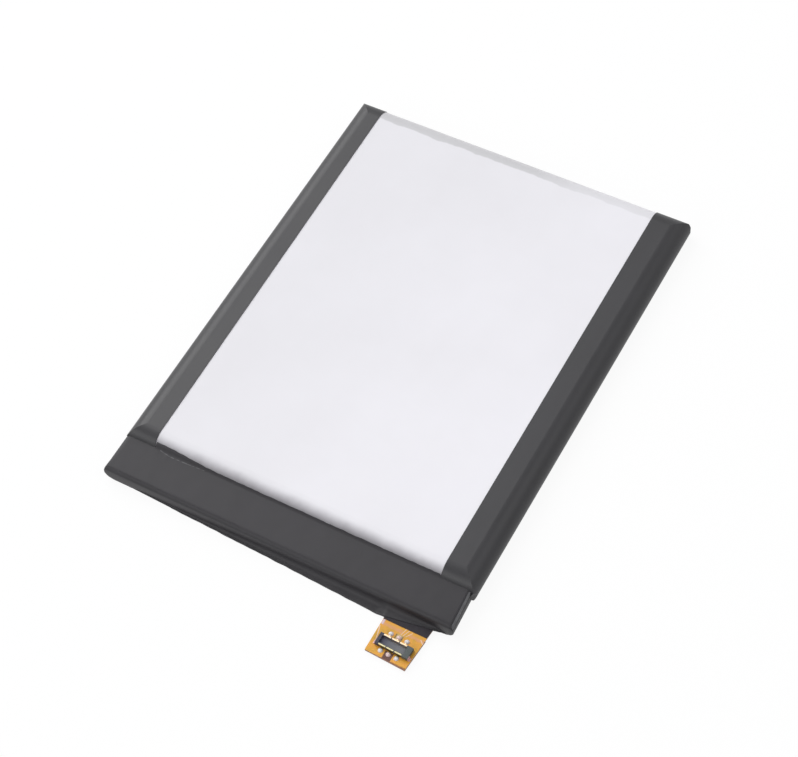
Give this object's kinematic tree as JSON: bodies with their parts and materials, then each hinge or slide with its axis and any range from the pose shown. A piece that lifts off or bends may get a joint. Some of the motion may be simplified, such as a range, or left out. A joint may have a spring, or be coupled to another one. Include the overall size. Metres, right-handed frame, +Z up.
{
  "type": "mobile phone battery",
  "caption": "Flat lithium-polymer pouch battery with taped sides, a taped protection board bay at one end and a short flex tail with a board-to-board connector",
  "frame": {"origin": "On the resting plane, under the middle of the whole outline with its flex tail", "axes": "X across the width, Y along the length and away from the flex tail, Z up through the thickness"},
  "size_m": [0.0636, 0.092, 0.0045],
  "materials": {
    "pouch_foil": "satin laminated foil",
    "side_tape": "satin film tape",
    "bay_tape": "satin film tape",
    "holder_plastic": "matt moulded",
    "pad_foam": "matt foam adhesive",
    "board_laminate": "satin solder mask",
    "tab_aluminium": "bright rolled strip",
    "tab_nickel": "satin nickel",
    "film_clear": "translucent film",
    "film_dark": "matt film",
    "chip_plastic": "matt moulded",
    "fuse_ceramic": "matt with tinned ends",
    "resistor_ceramic": "matt with tinned ends",
    "thermistor_ceramic": "matt with tinned ends",
    "capacitor_ceramic": "matt with tinned ends",
    "flex_polyimide": "glossy amber film",
    "coverlay_black": "satin film",
    "stiffener_polyimide": "satin amber brown",
    "pad_gold": "gold flash on copper",
    "connector_plastic": "matt moulded",
    "contact_gold": "gold plated",
    "nail_metal": "plated strip",
    "solder": "smooth solder"
  },
  "bodies": {
    "root": {"pouch_cell": "pouch_foil", "left_side_tape": "side_tape", "right_side_tape": "side_tape", "bay_wrap_tape": "bay_tape", "board_holder": "holder_plastic", "board_pad": "pad_foam", "protection_board": "board_laminate", "positive_tab": "tab_aluminium", "negative_tab": "tab_nickel", "positive_tab_film": "film_clear", "negative_tab_film": "film_dark", "positive_weld_plate": "tab_nickel", "negative_weld_plate": "tab_nickel", "protection_chip": "chip_plastic", "power_switches": "chip_plastic", "chip_fuse": "fuse_ceramic", "sense_resistor": "resistor_ceramic", "thermistor": "thermistor_ceramic", "chip_capacitors": "capacitor_ceramic", "chip_resistors": "resistor_ceramic", "flex_tail": "flex_polyimide", "flex_coverlay": "coverlay_black", "flex_stiffener": "stiffener_polyimide", "flex_pads": "pad_gold", "connector_housing": "connector_plastic", "far_contacts": "contact_gold", "near_contacts": "contact_gold", "hold_down_nails": "nail_metal", "solder_joints": "solder"}
  },
  "joints": []
}
